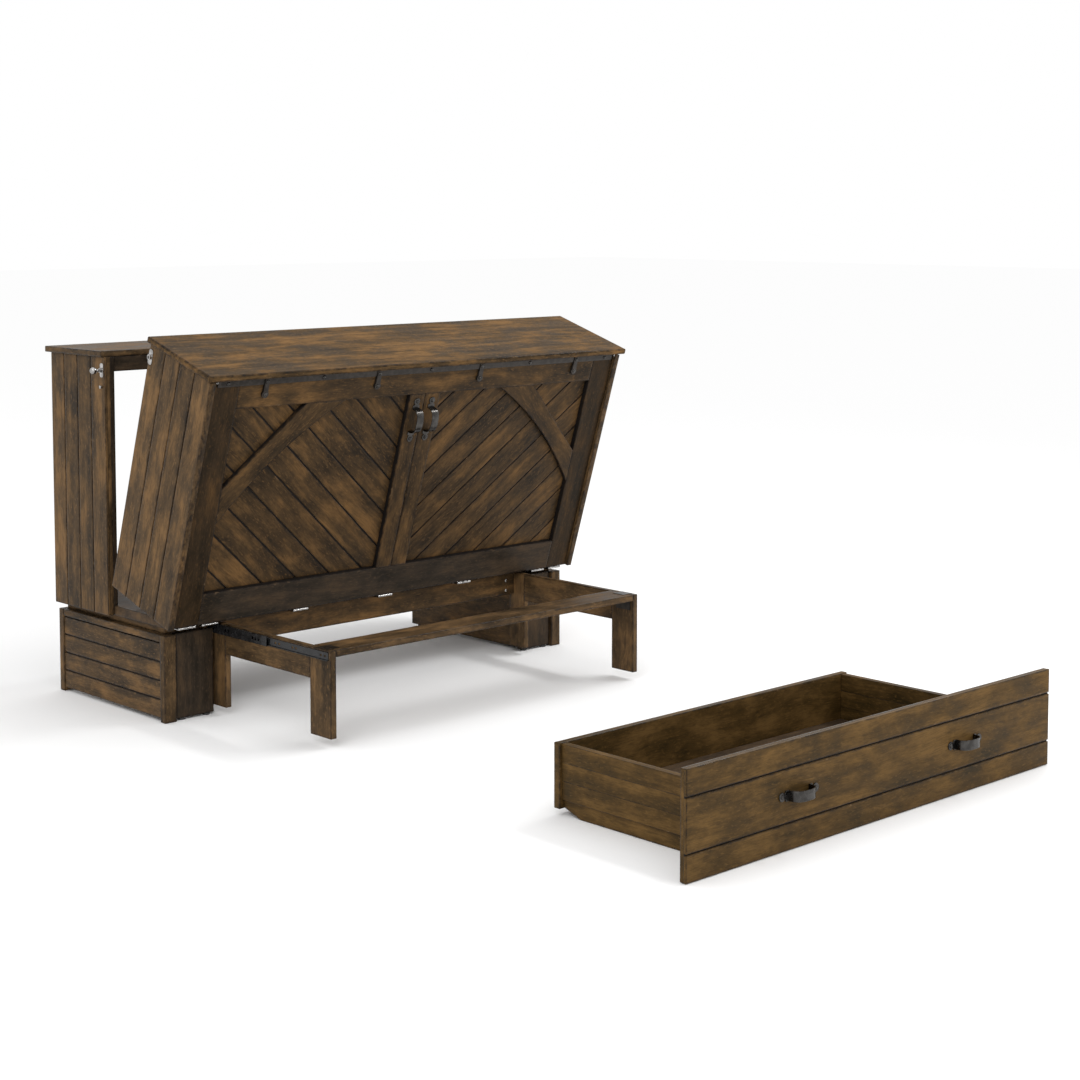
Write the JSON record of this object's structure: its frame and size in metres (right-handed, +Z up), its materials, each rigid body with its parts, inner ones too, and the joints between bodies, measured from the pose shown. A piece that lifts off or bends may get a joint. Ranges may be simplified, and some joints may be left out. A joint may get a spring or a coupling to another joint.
{
  "type": "cabinet murphy bed",
  "caption": "Chest-type murphy bed part-way open: tipping barn-door box on a low base, rear cabinet, pull-out support frame on slides and a full-width drawer.",
  "frame": {"origin": "bottom centre of the whole part as it stands part-way open, on the floor", "axes": "+X across the bed, +Y towards the wall, +Z up; the drawer is at -Y"},
  "size_m": [1.7, 2.645, 1.1321],
  "materials": {
    "walnut": "satin stained walnut, rubbed through on the edges",
    "stained_ply": "stained board",
    "black_iron": "satin black iron",
    "zinc_steel": "bright zinc plate",
    "slide_steel": "black electro-coated slide steel",
    "foot_plastic": "black nylon"
  },
  "bodies": {
    "root": {"base_posts": "walnut", "base_side_left": "walnut", "base_side_right": "walnut", "base_cheeks": "walnut", "base_plinths": "walnut", "slide_walls": "walnut", "bed_deck": "stained_ply", "base_glides": "foot_plastic", "rear_side_left": "walnut", "rear_side_right": "walnut", "rear_stiles": "walnut", "rear_top": "walnut", "rear_rails": "walnut", "slide_outer": "slide_steel", "latch_plates": "zinc_steel", "strike_pins": "zinc_steel", "hinge_fixed_leaves": "zinc_steel", "hinge_pins": "zinc_steel"},
    "box": {"box_side_left": "walnut", "box_side_right": "walnut", "face_backing": "stained_ply", "face_stiles": "walnut", "face_top_rail": "walnut", "face_bottom_rail": "walnut", "centre_stiles": "walnut", "face_braces": "walnut", "chevron_panel_left": "walnut", "chevron_panel_right": "walnut", "barn_rail": "black_iron", "rail_bolts": "black_iron", "rail_hangers": "black_iron", "door_pulls": "black_iron", "door_pull_screws": "black_iron", "hinge_moving_leaves": "zinc_steel", "latch_keepers": "zinc_steel", "lid_pivot_pins": "zinc_steel"},
    "lid": {"lid_board": "walnut", "lid_pivot_brackets": "zinc_steel", "foot_hinge_fixed": "zinc_steel"},
    "foot_leaf": {"foot_leaf": "stained_ply", "foot_hinge_moving": "zinc_steel"},
    "frame": {"frame_front_legs": "walnut", "frame_rear_legs": "walnut", "frame_aprons": "walnut", "frame_rear_rail": "walnut", "frame_front_board": "walnut", "frame_corner_brackets": "black_iron", "frame_rail_bolts": "zinc_steel", "slide_inner": "slide_steel"},
    "slide_middles": {"slide_middle": "slide_steel"},
    "drawer": {"drawer_front": "walnut", "drawer_sides": "walnut", "drawer_back": "walnut", "drawer_bottom": "stained_ply", "drawer_runners": "walnut", "drawer_pulls": "black_iron", "drawer_pull_screws": "black_iron"},
    "latch_left": {"latch_plunger_left": "zinc_steel"},
    "latch_right": {"latch_plunger_right": "zinc_steel"}
  },
  "joints": [
    {"name": "box_tilt", "type": "hinge", "parent": "root", "child": "box", "pos_m": [0, 0.6855, 0.2795], "axis": [1, 0, 0], "range_deg": [-17.5, 72.5]},
    {"name": "lid_hinge", "type": "hinge", "parent": "box", "child": "lid", "pos_m": [0, 0.44889, 1.01331], "axis": [1, 0, 0], "range_deg": [0, 90]},
    {"name": "foot_leaf_hinge", "type": "hinge", "parent": "lid", "child": "foot_leaf", "pos_m": [0, 0.74462, 1.11127], "axis": [1, 0, 0], "range_deg": [0, 180]},
    {"name": "drawer_slide", "type": "slide", "parent": "root", "child": "drawer", "axis": [0, 1, 0], "range_m": [0, 1.986]},
    {"name": "frame_slide", "type": "slide", "parent": "root", "child": "frame", "axis": [0, 1, 0], "range_m": [0, 0.551]},
    {"name": "middle_slide", "type": "slide", "parent": "root", "child": "slide_middles", "axis": [0, 1, 0], "range_m": [0, 0.2755]},
    {"name": "latch_left_pull", "type": "slide", "parent": "root", "child": "latch_left", "axis": [-1, 0, 0], "range_m": [0, 0.01]},
    {"name": "latch_right_pull", "type": "slide", "parent": "root", "child": "latch_right", "axis": [1, 0, 0], "range_m": [0, 0.01]}
  ],
  "couplings": [
    {"joint": "foot_leaf_hinge", "follows": "lid_hinge", "ratio": 2},
    {"joint": "frame_slide", "follows": "drawer_slide", "ratio": 0.2774},
    {"joint": "middle_slide", "follows": "drawer_slide", "ratio": 0.1387}
  ]
}
